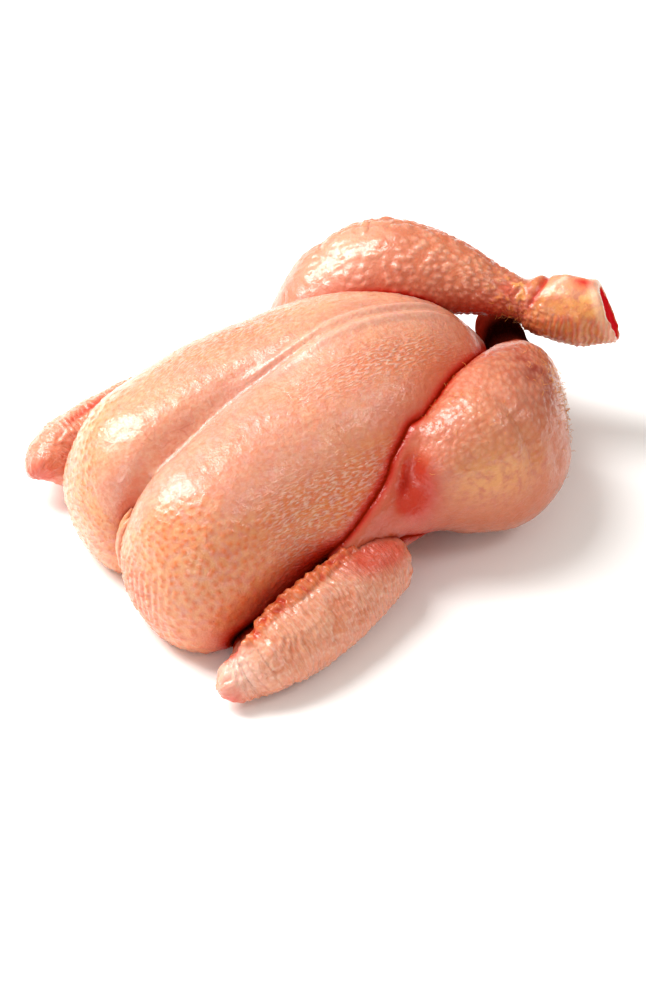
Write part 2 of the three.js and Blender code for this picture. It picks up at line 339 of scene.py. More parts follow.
def net_over(form, low, high, step):
    """Points and quads that cover a form: one point in each grid cell that its skin crosses."""
    low = np.array(low, float)
    grid = grid_over(form, low, high, step)
    inside = grid < 0
    corners = [(i, j, k) for i in (0, 1) for j in (0, 1) for k in (0, 1)]
    cut = [tuple(slice(c, inside.shape[a] - 1 + c) for a, c in enumerate(corner)) for corner in corners]
    filled = sum(inside[c].astype(np.int8) for c in cut)
    cells = np.argwhere((filled > 0) & (filled < len(corners)))
    number = np.full(filled.shape, -1)
    number[tuple(cells.T)] = np.arange(len(cells))

    total = np.zeros((len(cells), 3))
    hits = np.zeros(len(cells))
    for a in corners:
        for axis in range(3):
            if a[axis]:
                continue
            b = tuple(c + (i == axis) for i, c in enumerate(a))
            first = grid[tuple((cells + a).T)]
            second = grid[tuple((cells + b).T)]
            crossed = (first < 0) != (second < 0)
            share = first[crossed] / (first[crossed] - second[crossed])
            where = np.array(a, float)[None].repeat(crossed.sum(), axis=0)
            where[:, axis] = share
            total[crossed] += where
            hits[crossed] += 1
    points = low + (cells + total / hits[:, None]) * step

    quads = []
    for axis in range(3):
        u, v = (axis + 1) % 3, (axis + 2) % 3
        ahead = [slice(None)] * 3
        ahead[axis] = slice(1, None)
        behind = [slice(None)] * 3
        behind[axis] = slice(None, -1)
        out, back = inside[tuple(behind)], inside[tuple(ahead)]
        edges = np.argwhere(out != back)
        edges = edges[(edges[:, u] > 0) & (edges[:, v] > 0)]
        down_u, down_v = np.eye(3, dtype=int)[u], np.eye(3, dtype=int)[v]
        ring = [edges, edges - down_u, edges - down_u - down_v, edges - down_v]
        ring = np.stack([number[tuple(cell.T)] for cell in ring], axis=1)
        outwards = out[tuple(edges.T)]
        ring[~outwards] = ring[~outwards][:, ::-1]
        quads.append(ring)
    quads = np.concatenate(quads)
    return evened_out(points, quads, form), quads


FOOTPRINT_MIDDLE = np.array([30.1, -5.9, 0.0])
MM = 0.001
DETAIL = 1.0
# What shows at each point of the skin, from 0 to 1. The red of a crease is partly the skin's own red and
# partly painted crease shade, and the darkest colour is painted shade, deep in creases and on a shaded shank.
# Ruddy skin is partly painted shade on the sides turned away from the light, the bruise colour paints some
# shade too, and the pale colour paints some highlights. Streak is fine lines along the skin's grain, with
# pale ridges that are partly painted sheen; meat is the raw face of a cut, and haze is greyer skin over white
# meat.
MASKS = ("ruddy_and_shade", "red_and_crease_shade", "painted_shade", "fat", "bruise_and_shade", "pale_and_highlight", "follicle", "streak", "meat", "haze")


class Skin:
    """The skin over a form: its net, which way it faces, and how strongly each colour shows, 0 at first."""

    def __init__(self, form, low, high, step):
        self.points, self.quads = net_over(form, low, high, step * DETAIL)
        slope = slope_of(form, self.points, SKIN_PROBE)
        self.facing = slope / np.maximum(np.linalg.norm(slope, axis=1), 1e-6)[:, None]
        self.masks = {mask: np.zeros(len(self.points)) for mask in MASKS}

    def paint(self, mask, *shares):
        """Lays one colour over what there is of it. The strongest share wins."""
        self.masks[mask] = np.maximum.reduce([self.masks[mask], *shares])

    def raise_by(self, height):
        """Moves the skin outwards by a relief in millimetres."""
        self.points = self.points + self.facing * height[:, None]

    def piece(self, name, along, across):
        """A mesh in metres, in the part's frame, with its colours and its grain as point attributes."""
        self.points[:, 2] = np.maximum(self.points[:, 2], 0.0)
        mesh = bpy.data.meshes.new(name)
        mesh.from_pydata(((self.points - FOOTPRINT_MIDDLE) * MM).tolist(), [], self.quads.tolist())
        for mask, values in self.masks.items():
            attribute = mesh.attributes.new(mask, "FLOAT", "POINT")
            attribute.data.foreach_set("value", np.clip(values, 0, 1).astype(np.float32))
        grain = np.stack([along, across, np.zeros(len(self.points))], axis=1).astype(np.float32)
        mesh.attributes.new("grain", "FLOAT_VECTOR", "POINT").data.foreach_set("vector", grain.ravel())
        mesh.shade_smooth()
        piece = bpy.data.objects.new(name, mesh)
        bpy.context.collection.objects.link(piece)
        return piece


# Large uneven numbers, which turn a pair of whole numbers and a seed into an even draw.
DRAW = (127.1, 311.7, 74.7, 43758.5453)
ROW_PITCH = 0.87
SECOND_SEED = 9
LUMP_SHIFT = (17.3, 5.1, 9.7)


def hash_of(i, j, seed):
    """An even random draw from 0 to 1 for each whole-numbered pair."""
    mixed = np.sin(i * DRAW[0] + j * DRAW[1] + seed * DRAW[2]) * DRAW[3]
    return mixed - np.floor(mixed)


def follicles(along, across, spacing, seed, jitter):
    """Distance to the nearest feather follicle, in rows set half a step over from each other."""
    rows = spacing * ROW_PITCH
    j = np.floor(across / rows)
    nearest = np.full(len(along), 1e9)
    for dj in (-1, 0, 1):
        shift = 0.5 * ((j + dj) % 2)
        i = np.floor(along / spacing - shift)
        for di in (-1, 0, 1):
            x = (i + di + 0.5 + shift + jitter * (hash_of(i + di, j + dj, seed) - 0.5)) * spacing
            y = (j + dj + 0.5 + jitter * (hash_of(i + di, j + dj, seed + SECOND_SEED) - 0.5)) * rows
            nearest = np.minimum(nearest, np.hypot(along - x, across - y))
    return nearest


def lumps(points, size, seed):
    """Soft uneven noise from -1 to 1, with lumps of the given size in mm. Each use has its own seed."""
    offset = Vector([seed * shift for shift in LUMP_SHIFT])
    return np.array([noise.noise(Vector(p) + offset) for p in (points / size).tolist()])


def patch(points, middle, half):
    """1 in the middle of an egg-shaped patch, fading to 0 outside it."""
    return np.exp(-(((points - middle) / half) ** 2).sum(axis=1))


def crease_shade(form, points, narrow, wide, strength):
    """Red beside another part, partly painted crease shade: deep in the crease, faint further out."""
    gap = np.maximum(form(points), 0)
    return np.clip(bell(gap, narrow) + strength * np.exp(-gap / wide), 0, 1)


def linear(hex_colour):
    """An sRGB hex colour as linear values."""
    parts = [int(hex_colour[i:i + 2], 16) / 255 for i in (1, 3, 5)]
    return tuple(p / 12.92 if p <= 0.04045 else ((p + 0.055) / 1.055) ** 2.4 for p in parts) + (1.0,)


def add_node(tree, kind, settings=None, **links):
    """A node with its settings. Each input is set to a value, or linked to another node's socket.

    An input is named with _ for each blank, or by _ and its number."""
    node = tree.nodes.new(kind)
    for setting, value in (settings or {}).items():
        setattr(node, setting, value)
    for name, value in links.items():
        socket = node.inputs[int(name[1:])] if name[1:].isdigit() else node.inputs[name.replace("_", " ")]
        if isinstance(value, bpy.types.NodeSocket):
            tree.links.new(value, socket)
        else:
            socket.default_value = value
    return node


# Real sizes of the patterns in the skin, in millimetres, and two lengths in metres: how far a vein
# strays from a straight line, and how deep the finest relief is.
METRE_IN_MM = 1000
VEIN_MESH_MM = 17
VEIN_BENDS_MM = 9
PORES_MM = 1.4
CRINKLES_MM = 1.5
VEIN_STRAYS = (0.006,) * 3
RELIEF_DEPTH = 0.0005
ROUGHNESS = (0.3, 0.54)


def raw_skin(name, colours):
    """Raw poultry skin: thin, moist and half see-through over pink meat. Light goes in and comes out red,
    fat shows yellow through it, and a film of water gives the highlights. Cut meat and the painted shade of
    deep creases are left without the film, because its glare would hide their dark red."""
    material = bpy.data.materials.new(name)
    material.use_nodes = True
    tree = material.node_tree
    tree.nodes.clear()
    place = add_node(tree, "ShaderNodeTexCoord").outputs["Object"]
    grain = add_node(tree, "ShaderNodeAttribute", {"attribute_name": "grain"}).outputs["Vector"]
    mask = {}
    for key in MASKS:
        mask[key] = add_node(tree, "ShaderNodeAttribute", {"attribute_name": key}).outputs["Fac"]

    def cloud(size_mm, detail=3.0, low=0.35, high=0.65, where=place, unit=METRE_IN_MM):
        field = add_node(tree, "ShaderNodeTexNoise", Vector=where, Scale=unit / size_mm, Detail=detail)
        return add_node(
            tree, "ShaderNodeMapRange", {"interpolation_type": "SMOOTHSTEP"},
            Value=field.outputs["Fac"], From_Min=low, From_Max=high,
        ).outputs["Result"]

    def maths(operation, a, b, clamp=True):
        settings = {"operation": operation, "use_clamp": clamp}
        return add_node(tree, "ShaderNodeMath", settings, _0=a, _1=b).outputs[0]

    def share(a, b):
        return maths("MULTIPLY", a, b)

    streak_lines = add_node(tree, "ShaderNodeMapping", Vector=grain, Scale=(0.3, 1.2, 1.0)).outputs["Vector"]
    streaks = cloud(1.0, 1.5, 0.42, 0.68, streak_lines, 1)
    between = maths("SUBTRACT", 1.0, streaks)

    # Fine veins run under the skin as a loose mesh, and show only in some places.
    warp = add_node(tree, "ShaderNodeTexNoise", Vector=place, Scale=METRE_IN_MM / VEIN_BENDS_MM)
    bent = add_node(
        tree, "ShaderNodeVectorMath", {"operation": "MULTIPLY_ADD"},
        _0=warp.outputs["Color"], _1=VEIN_STRAYS, _2=place,
    )
    vein_mesh = add_node(
        tree, "ShaderNodeTexVoronoi", {"feature": "DISTANCE_TO_EDGE"},
        Vector=bent.outputs[0], Scale=METRE_IN_MM / VEIN_MESH_MM,
    )
    veins = add_node(
        tree, "ShaderNodeMapRange", Value=vein_mesh.outputs["Distance"],
        From_Min=0.0, From_Max=0.028, To_Min=1.0, To_Max=0.0,
    ).outputs["Result"]

    base = add_node(tree, "ShaderNodeRGB")
    base.outputs[0].default_value = linear(colours["skin"])
    colour = base.outputs[0]
    for cover, tint in (
        (share(cloud(30), 0.5), "peach"),
        (share(cloud(13, 4), 0.4), "pink"),
        (share(mask["haze"], cloud(22, 3, 0.25, 0.6)), "haze"),
        (share(share(veins, 0.4), cloud(15, 2, 0.5, 0.62)), "bruise_and_shade"),
        (share(mask["ruddy_and_shade"], 0.9), "ruddy_and_shade"),
        (share(cloud(2.2, 4), 0.4), "blotch"),
        (share(mask["fat"], cloud(4, 4, 0.3, 0.6)), "fat"),
        (share(mask["bruise_and_shade"], cloud(9, 3, 0.2, 0.6)), "bruise_and_shade"),
        (share(mask["follicle"], 0.85), "follicle"),
        # Between the streaks the follicle colour shows; the pale along their ridges is partly painted sheen.
        (share(share(mask["streak"], between), 0.55), "follicle"),
        (share(share(mask["streak"], streaks), 0.55), "pale_and_highlight"),
        (share(mask["pale_and_highlight"], 0.8), "pale_and_highlight"),
        (mask["red_and_crease_shade"], "red_and_crease_shade"),
        (mask["meat"], "meat"),
        (mask["painted_shade"], "painted_shade"),
    ):
        over = linear(colours[tint])
        mix = add_node(tree, "ShaderNodeMix", {"data_type": "RGBA"}, _0=cover, _6=colour, _7=over)
        colour = mix.outputs[2]

    pores = add_node(tree, "ShaderNodeTexVoronoi", Vector=place, Scale=METRE_IN_MM / PORES_MM, Randomness=0.9)
    crinkles = add_node(
        tree, "ShaderNodeTexNoise", Vector=place, Scale=METRE_IN_MM / CRINKLES_MM, Detail=5.0, Roughness=0.6,
    )
    pitted = maths("MULTIPLY", pores.outputs["Distance"], 0.35, False)
    fine = maths("ADD", pitted, crinkles.outputs["Fac"], False)
    ridges = maths("MULTIPLY", share(streaks, mask["streak"]), 1.3, False)
    relief = maths("ADD", fine, ridges, False)
    skin_bump, film_bump = (
        add_node(tree, "ShaderNodeBump", Strength=strength, Distance=RELIEF_DEPTH, Height=relief)
        for strength in (0.8, 0.3)
    )
    roughness = add_node(
        tree, "ShaderNodeMapRange", Value=cloud(6, 5, 0.3, 0.7), To_Min=ROUGHNESS[0], To_Max=ROUGHNESS[1],
    ).outputs["Result"]
    # No film over cut meat or over the painted shade of deep creases.
    moist = maths("SUBTRACT", 1.0, share(maths("MAXIMUM", mask["painted_shade"], mask["meat"]), 2.2))
    film = share(moist, maths("ADD", 0.6, share(cloud(3.5, 5, 0.3, 0.7), 0.4)))
    shader = add_node(
        tree, "ShaderNodeBsdfPrincipled",
        Base_Color=colour, Roughness=roughness, Normal=skin_bump.outputs["Normal"], IOR=1.42,
        Specular_IOR_Level=share(moist, 0.5),
        Subsurface_Weight=0.5, Subsurface_Radius=(1.0, 0.32, 0.16), Subsurface_Scale=0.0025,
        Coat_Weight=film, Coat_Roughness=0.14, Coat_IOR=1.45, Coat_Normal=film_bump.outputs["Normal"],
    )
    add_node(tree, "ShaderNodeOutputMaterial", Surface=shader.outputs["BSDF"])
    return material


def finish_skin(piece, material):
    """Hands over a piece of skin, which takes the place of the plain solid."""
    piece.data.materials.append(material)
    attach(piece, "root")
    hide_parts("chicken")


# The dark colour is painted shade, and the flush, ruddy, bruise and pale colours paint some shade and
# highlights too.
SKIN_COLOURS = {
    "skin": "#D9A48C", "peach": "#DEAA80", "pink": "#CF9084", "ruddy_and_shade": "#D4744A", "blotch": "#CC7250",
    "pale_and_highlight": "#EFD0C0", "fat": "#E8AA5C", "bruise_and_shade": "#A24634", "follicle": "#D26C32", "red_and_crease_shade": "#C8280A",
    "painted_shade": "#280603", "meat": "#C8161E", "haze": "#CDA597",
}
# Leg meat is darker than breast meat, and the skin over it is thicker, so the legs are ruddier.
LEG_COLOURS = dict(
    SKIN_COLOURS, skin="#C9856A", peach="#CE8F64", pink="#BC6E5C", ruddy_and_shade="#BE6236", pale_and_highlight="#F0CDB4",
    bruise_and_shade="#9C3A28",
)
# The skin is thin and pale where it is stretched, over the breast and towards the neck, and thick and ruddy
# where it hangs. Skin that faces away from this direction is painted ruddier, which is also painted shade on
# the sides turned away from the light.
PALEST_FACING = np.array([-0.55, 0.1, 0.83])

# Places on the legs' skin. Each is the middle and the half sizes of a soft patch.
RIGHT_LEG_FAT = ((54, -89, 58), (26, 14, 15))
RIGHT_LEG_BRUISE = ((98, -50, 76), (17, 20, 14))
KNEE_WEDGE = ((19, -68, 53), (13, 13, 17))
# Painted shade under the right knee.
SHADE_BELOW_KNEE = ((8, -66, 30), (30, 16, 14))
DOWN_BY_HOCK = ((112, -60, 66), (12, 16, 18))
DOWN_ON_THIGH = ((50, -52, 76), (22, 16, 12))
# A painted highlight on top of the left leg.
LEFT_LEG_TOP_HIGHLIGHT = ((56, 60, 96), (32, 18, 18))
DOWN_UNDER_HOCK = ((124, -4, 72), (10, 10, 10))
HOCK_FLECKS = ((123, 0, 82), (11, 9, 8))
HOCK_FAT = ((153, -25, 80), (11, 12, 14))
HOCK_BRUISE = ((138, -18, 66), (7, 7, 7))
HOCK_MEAT = ((153, -19, 88), (6, 5, 4))
HOCK_KNOB = ((146, -12, 84), (9, 9, 9))
HOCK_HOLLOW = ((158, -14, 84), (6, 9, 7))
RED_SHIN = ((108, 6, 70), (32, 22, 13))
# The left hock's skin is gathered below and smooth above. How far out a point lies is measured from the
# ankle, and how far up from the middle of the limb.
ANKLE = (131, 0, 75)
ANKLE_FACING = np.array([0.73, -0.68, -0.07])
UPPER_SIDE = np.array([0.355, 0.567, 0.743])
HOCK_RIB_MM = 2.3
FOLD_PAST_ANKLE = 4.5
FOLD_SLANT = 0.4
GOOSE_BUMPS_ROUND = 32
LEG_RADIUS = 27
LEFT_LEG_RADIUS = 24
LEG_MESH_MM = 0.85


def left_leg_relief(skin, along, angle, on_limb, shaded_underside):
    """Goose bumps in rows, and at the hock a fold, a knob, a tendon and gathered skin."""
    points, paint = skin.points, skin.paint
    x = points[:, 0]
    before_ankle = 1 - smooth_step(x, 128, 136)
    spacing = LEFT_LEG_RADIUS * 2 * math.pi / GOOSE_BUMPS_ROUND
    dots = follicles(along, angle * LEFT_LEG_RADIUS, spacing, 2, 0.85)
    bumps = bell(dots, 1.5) * on_limb * before_ankle * (0.75 + 0.5 * lumps(points, 12, 15))
    above = LEFT_DRUMSTICK.from_middle(points) @ UPPER_SIDE
    on_top = smooth_step(above, 1, 8)
    round_top = smooth_step(above, -9, 2)
    fold = (points - ANKLE) @ ANKLE_FACING - FOLD_PAST_ANKLE - FOLD_SLANT * above
    hock = smooth_step(fold, 0, 4)
    rib = 0.5 + 0.5 * np.sin(along * 2 * math.pi / HOCK_RIB_MM + 3 * lumps(points, 6, 14))
    ribbed = hock * (1 - smooth_step(above, -8, -2)) * rib
    flecks = smooth_step(lumps(points, 3, 24), 0.05, 0.3) * patch(points, *HOCK_FLECKS)
    tendon = bell(TENDON(points), 1.6) * hock
    rim = smooth_step(past_cut(points, LEFT_HOCK_CUT), -6, -3)

    # Ruddier and redder on the underside of the leg: partly painted shade, partly the skin's own tone.
    paint("ruddy_and_shade", 0.9 * shaded_underside, 0.6 * (1 - bumps) * on_limb, 0.3 * smooth_step(x, 40, 90))
    red_shade_below = 0.6 * shaded_underside * smooth_step(x, 50, 90) * (1 - smooth_step(x, 126, 136))
    paint("red_and_crease_shade", 0.9 * patch(points, *RED_SHIN), red_shade_below)
    paint("red_and_crease_shade", 0.8 * bell(fold, 1.8) * round_top, 0.3 * hock * ribbed)
    paint("red_and_crease_shade", 0.5 * bell(fold + 12, 7) * (1 - on_top))
    paint("fat", hock * np.maximum(1.4 * patch(points, *HOCK_FAT), 0.5), 1.6 * flecks)
    paint("bruise_and_shade", 0.5 * patch(points, *HOCK_BRUISE))
    # Paler goose bumps, and a painted highlight on top of the leg.
    paint("pale_and_highlight", 0.4 * bumps, 0.5 * patch(points, *LEFT_LEG_TOP_HIGHLIGHT))
    # Paler on top of the hock and along the tendon: painted highlight over the skin's own pale. The rim round
    # the cut is the skin's own pale.
    paint("pale_and_highlight", hock * (0.35 * on_top + 0.6 * tendon + 0.5 * rim))
    paint("follicle", 0.5 * hock * ribbed)
    paint("meat", patch(points, *HOCK_MEAT))
    skin.masks["down"] = 0.6 * patch(points, *DOWN_UNDER_HOCK)

    height = 0.95 * bumps + 0.7 * lumps(points, 12, 5) + 0.35 * lumps(points, 3.5, 6) + 0.9 * flecks
    height = height - 1.5 * bell(fold, 1.3) * round_top
    height = height + 1.2 * bell(fold + 4.2, 2.6) * on_top + 0.6 * ribbed
    height = height + 1.6 * patch(points, *HOCK_KNOB) - 1.4 * patch(points, *HOCK_HOLLOW)
    return height + tendon + hock * 0.9 * lumps(points, 10, 21)


def right_leg_relief(skin, along, angle, on_limb, shaded_underside):
    """Softly pebbled skin with yellow fat and a bruise, and a red wedge beside the fold at the knee."""
    points, paint = skin.points, skin.paint
    x, y, z = points.T
    pebbled = smooth_step(z, 52, 72) * smooth_step(x, 14, 34)
    bumps = bell(follicles(x, angle * LEG_RADIUS, 3.6, 3, 0.8), 1.3) * on_limb * pebbled
    # Painted shadow over the inner side of the right shank: deep red-brown, lighter towards its end.
    shaded_inner_shank = smooth_step(y, -24, -13) * smooth_step(x, 98, 110)
    off_fold = smooth_step(x - 17 + 0.7 * (62 - z), -6, 0) * smooth_step(-y, 52, 60)
    wedge = np.minimum(1.6 * patch(points, *KNEE_WEDGE), 0.85) * off_fold
    # Painted shade under the knee, in ruddy, red and bruised colours.
    below = patch(points, *SHADE_BELOW_KNEE)

    paint("ruddy_and_shade", shaded_underside, 0.4 * pebbled * (1 - bumps), np.minimum(1.6 * wedge, 1), below)
    paint("red_and_crease_shade", wedge, 0.25 * below, 0.8 * shaded_inner_shank)
    paint("fat", 0.6 * patch(points, *RIGHT_LEG_FAT))
    paint("bruise_and_shade", 1.2 * patch(points, *RIGHT_LEG_BRUISE), 0.8 * below)
    paint("pale_and_highlight", 0.2 * bumps)
    paint("painted_shade", shaded_inner_shank * (1 - 0.45 * smooth_step(y, 8, 24)))
    skin.masks["down"] = np.maximum(patch(points, *DOWN_BY_HOCK), 0.25 * patch(points, *DOWN_ON_THIGH))
    return 1.0 * lumps(points, 21, 5) + 0.4 * lumps(points, 8, 7) + 0.2 * lumps(points, 3, 6) + 0.3 * bumps


def leg_skin_over(form, low, high, limb, cut, relief):
    """One leg's skin with its relief, its colours and the raw face of its cut hock."""
    skin = Skin(lying(form, trunk_form, TUCK), low, high, LEG_MESH_MM)
    along, angle = limb.girth(skin.points)
    on_limb = np.exp(-np.maximum(limb(skin.points), 0) / 2)
    shaded_underside = 1 - smooth_step(skin.facing @ PALEST_FACING, -0.15, 0.8)
    # Painted crease shade beside the trunk: red, partly the skin's own, and dark in the deepest part.
    skin.paint("red_and_crease_shade", crease_shade(trunk_form, skin.points, 2.0, 7, 0.5))
    skin.paint("painted_shade", 0.6 * bell(np.maximum(trunk_form(skin.points), 0), 1.2))
    height = relief(skin, along, angle, on_limb, shaded_underside)
    off_middle = np.linalg.norm(limb.from_middle(skin.points), axis=1)
    on_cut = smooth_step(past_cut(skin.points, cut), -1.6, -0.4)
    raw = on_cut * (1 - smooth_step(off_middle, cut["meat"], cut["meat"] + 2))
    for mask in ("red_and_crease_shade", "pale_and_highlight"):
        skin.masks[mask] = skin.masks[mask] * (1 - raw)
    skin.paint("meat", raw)
    skin.raise_by(height - raw * (0.8 + 1.2 * lumps(skin.points, 3, 22)))
    return skin, along, angle * LEG_RADIUS


# The box that each leg fits in, from its low corner to its high one.
RIGHT_LEG_BOX = ((-40, -102, -3), (154, 46, 92))
LEFT_LEG_BOX = ((-22, -52, -3), (186, 104, 110))
leg_skin = raw_skin("raw_leg_skin", LEG_COLOURS)
for name, form, box, limb, cut, relief in (
    ("right_leg", right_leg_form, RIGHT_LEG_BOX, RIGHT_DRUMSTICK, RIGHT_HOCK_CUT, right_leg_relief),
    ("left_leg", left_leg_form, LEFT_LEG_BOX, LEFT_DRUMSTICK, LEFT_HOCK_CUT, left_leg_relief),
):
    skin, along, around = leg_skin_over(form, *box, limb, cut, relief)
    finish_skin(skin.piece(name, along, around), leg_skin)

# Down: the last fine filaments of feather that plucking leaves on the legs. They grow where the leg
# pieces' "down" attribute says, as short bent threads of keratin, and become a plain mesh of their own.
FILAMENTS_PER_SQUARE_METRE = 420000.0
FILAMENT_LENGTH_MM = 2.4
FILAMENT_RADIUS_MM = 0.09
FILAMENT_SEED = 5
# The bend of one thread and where it ends, as shares of its length, and how much threads differ.
THREAD_MIDDLE = (0.1, 0.0, 0.55)
THREAD_TIP = (0.7, 0.0, 0.6)
LEAST_LEAN = (-0.7, -0.7, -3.1)
MOST_LEAN = (0.7, 0.7, 3.1)
SHORTEST = 0.4
LONGEST = 1.3

# Feather keratin is dry, so the down is matt. Threads as thin as these look orange over the red skin.
feather_down = bpy.data.materials.new("feather_down")
feather_down.use_nodes = True
keratin = feather_down.node_tree.nodes["Principled BSDF"]
keratin.inputs["Base Color"].default_value = linear("#E0954A")
keratin.inputs["Roughness"].default_value = 0.6

growth = bpy.data.node_groups.new("down_on_skin", "GeometryNodeTree")
growth.interface.new_socket("Skin", in_out="INPUT", socket_type="NodeSocketGeometry")
settings = {}
for label, kind, value in (
    ("Filaments per square metre", "NodeSocketFloat", FILAMENTS_PER_SQUARE_METRE),
    ("Length", "NodeSocketFloat", FILAMENT_LENGTH_MM * MM),
    ("Radius", "NodeSocketFloat", FILAMENT_RADIUS_MM * MM),
    ("Seed", "NodeSocketInt", FILAMENT_SEED),
    ("Material", "NodeSocketMaterial", feather_down),
):
    socket = growth.interface.new_socket(label, in_out="INPUT", socket_type=kind)
    settings[socket.identifier] = value
growth.interface.new_socket("Down", in_out="OUTPUT", socket_type="NodeSocketGeometry")
given = add_node(growth, "NodeGroupInput").outputs
named = add_node(growth, "GeometryNodeInputNamedAttribute", {"data_type": "FLOAT"}, Name="down")
density = add_node(
    growth, "ShaderNodeMath", {"operation": "MULTIPLY"},
    _0=named.outputs["Attribute"], _1=given["Filaments per square metre"],
).outputs[0]
roots = add_node(
    growth, "GeometryNodeDistributePointsOnFaces", Mesh=given["Skin"], Density=density, Seed=given["Seed"],
).outputs
middle, tip = (
    add_node(growth, "ShaderNodeVectorMath", {"operation": "SCALE"}, _0=place, Scale=given["Length"])
    for place in (THREAD_MIDDLE, THREAD_TIP)
)
path = add_node(
    growth, "GeometryNodeCurveQuadraticBezier",
    Resolution=4, Start=(0.0, 0.0, 0.0), Middle=middle.outputs[0], End=tip.outputs[0],
)
ring = add_node(
    growth, "GeometryNodeCurvePrimitiveCircle", {"mode": "RADIUS"}, Resolution=3, Radius=given["Radius"],
)
thread = add_node(
    growth, "GeometryNodeCurveToMesh",
    Curve=path.outputs["Curve"], Profile_Curve=ring.outputs["Curve"], Fill_Caps=True,
)
lean = add_node(
    growth, "FunctionNodeRandomValue", {"data_type": "FLOAT_VECTOR"},
    _0=LEAST_LEAN, _1=MOST_LEAN, Seed=given["Seed"],
)
turned = add_node(
    growth, "FunctionNodeRotateRotation", {"rotation_space": "LOCAL"},
    Rotation=roots["Rotation"], Rotate_By=lean.outputs[0],
)
size = add_node(
    growth, "FunctionNodeRandomValue", {"data_type": "FLOAT"}, _2=SHORTEST, _3=LONGEST, Seed=given["Seed"],
)
threads = add_node(
    growth, "GeometryNodeInstanceOnPoints",
    Points=roots["Points"], Instance=thread.outputs["Mesh"], Rotation=turned.outputs[0],
    Scale=size.outputs[1],
)
real = add_node(growth, "GeometryNodeRealizeInstances", Geometry=threads.outputs["Instances"])
covered = add_node(growth, "GeometryNodeSetMaterial", Geometry=real.outputs[0], Material=given["Material"])
add_node(growth, "NodeGroupOutput", Down=covered.outputs[0])

for leg_name in ("right_leg", "left_leg"):
    grower = bpy.data.objects.new(leg_name + "_grower", bpy.data.objects[leg_name].data)
    bpy.context.collection.objects.link(grower)
    modifier = grower.modifiers.new("down", "NODES")
    modifier.node_group = growth
    for identifier, value in settings.items():
        modifier[identifier] = value
    seen = grower.evaluated_get(bpy.context.evaluated_depsgraph_get())
    down = bpy.data.objects.new(leg_name + "_down", bpy.data.meshes.new_from_object(seen))
    bpy.data.objects.remove(grower)
    bpy.context.collection.objects.link(down)
    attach(down, "root")

# The wings: upper arm and forearm in thin, wrinkled skin with a web between them, folded flat against
# the bird's sides and lying on the table. The right one's upper edge carries a ragged frill of skin, and
# the left one has a crease along its top. The wing tips can't be seen, and aren't made.
RIGHT_WING = {
    "upper": Limb([(-72, -58, 13, 12), (-40, -66, 13, 12), (-8, -74, 19, 12)]),
    "fore": Limb([
        (-93, -98, 12, 10), (-84, -98.5, 14, 12), (-74, -99, 18.5, 15.5), (-50, -95, 22, 18.5),
        (-25, -87, 24, 18.5), (-6, -80.5, 24, 16.5),
    ], (0, -0.75, 0.66), 0.7),
    "web": Limb([(-82, -88, 8, 8), (-70, -76, 9, 9), (-50, -80, 12, 11)]),
}
WING_FRILL = Limb([
    (-84, -94, 28, 1.8), (-76, -90.5, 30, 3.0), (-66, -87.5, 33.5, 3.2), (-52, -85.5, 37.5, 3.4),
    (-36, -81.5, 39, 3.0), (-20, -77, 38.5, 2.2),
])
LEFT_WING = {
    "upper": Limb([(-76, 58, 20, 17), (-40, 68, 20, 15), (-5, 76, 22, 13)]),
    "fore": Limb([
        (-102, 72, 22, 11.5), (-90, 79, 24, 15.5), (-65, 84, 25, 17), (-35, 85, 26, 17), (-5, 80, 25, 15),
    ], (0, 0.75, 0.66), 0.7),
    "web": Limb([(-92, 68, 18, 10), (-78, 66, 14, 12), (-50, 76, 14, 11)]),
}
LEFT_WING_CREVICE = Limb([(-94, 72, 33, 0.6), (-85, 76.5, 36, 1.4), (-65, 82, 38, 1.4), (-48, 85, 38, 0.6)])
WING_BLEND = {"fore": 4, "web": 6, "frill": 2.5}
WING_COLOURS = dict(SKIN_COLOURS, skin="#E0AC90", peach="#DFA27C", pink="#DA9484", ruddy_and_shade="#D5825C")
WRINKLE_MM = 2.9
WING_RADIUS = 15
WING_MESH_MM = 0.72
RIGHT_WING_BOX = ((-112, -122, -3), (14, -40, 48))
LEFT_WING_BOX = ((-124, 36, -3), (16, 108, 50))


def wing_form(points, wing):
    form = soft_join(wing["upper"](points), wing["fore"](points), WING_BLEND["fore"])
    return soft_join(form, wing["web"](points), WING_BLEND["web"])


def right_wing_form(points):
    return soft_join(wing_form(points, RIGHT_WING), WING_FRILL(points), WING_BLEND["frill"])


def left_wing_form(points):
    return wing_form(points, LEFT_WING)


# Places on the wings' skin. Each is the middle and the half sizes of a soft patch.
ELBOW = ((0, -82, 34), (12, 14, 12))
ELBOW_RED = ((-8, -84, 37), (20, 8, 8))
WRIST = ((-97, -99, 14), (8, 9, 9))
WRIST_PALE = ((-94, -99, 20), (9, 9, 8))
WRIST_RED = ((-101, -104, 8), (6, 6, 7))
WRIST_INNER_RED = ((-92, -90, 22), (7, 5, 9))
LEFT_WRIST_RED = ((-110, 66, 20), (10, 10, 12))


def frill_relief(skin):
    """The ragged frill on the right wing: raised, red between its lumps and yellow on top of them."""
    frill = bell(np.maximum(WING_FRILL(skin.points), 0), 1.6)
    ragged = lumps(skin.points, 3.4, 31)
    skin.paint("fat", 0.6 * frill * smooth_step(ragged, -0.1, 0.4))
    skin.paint("ruddy_and_shade", frill)
    skin.paint("red_and_crease_shade", 0.75 * frill * (1 - smooth_step(ragged, -0.4, 0.1)))
    skin.paint("follicle", frill)
    return frill * (0.6 + 1.8 * ragged + 1.4 * lumps(skin.points, 7, 32))


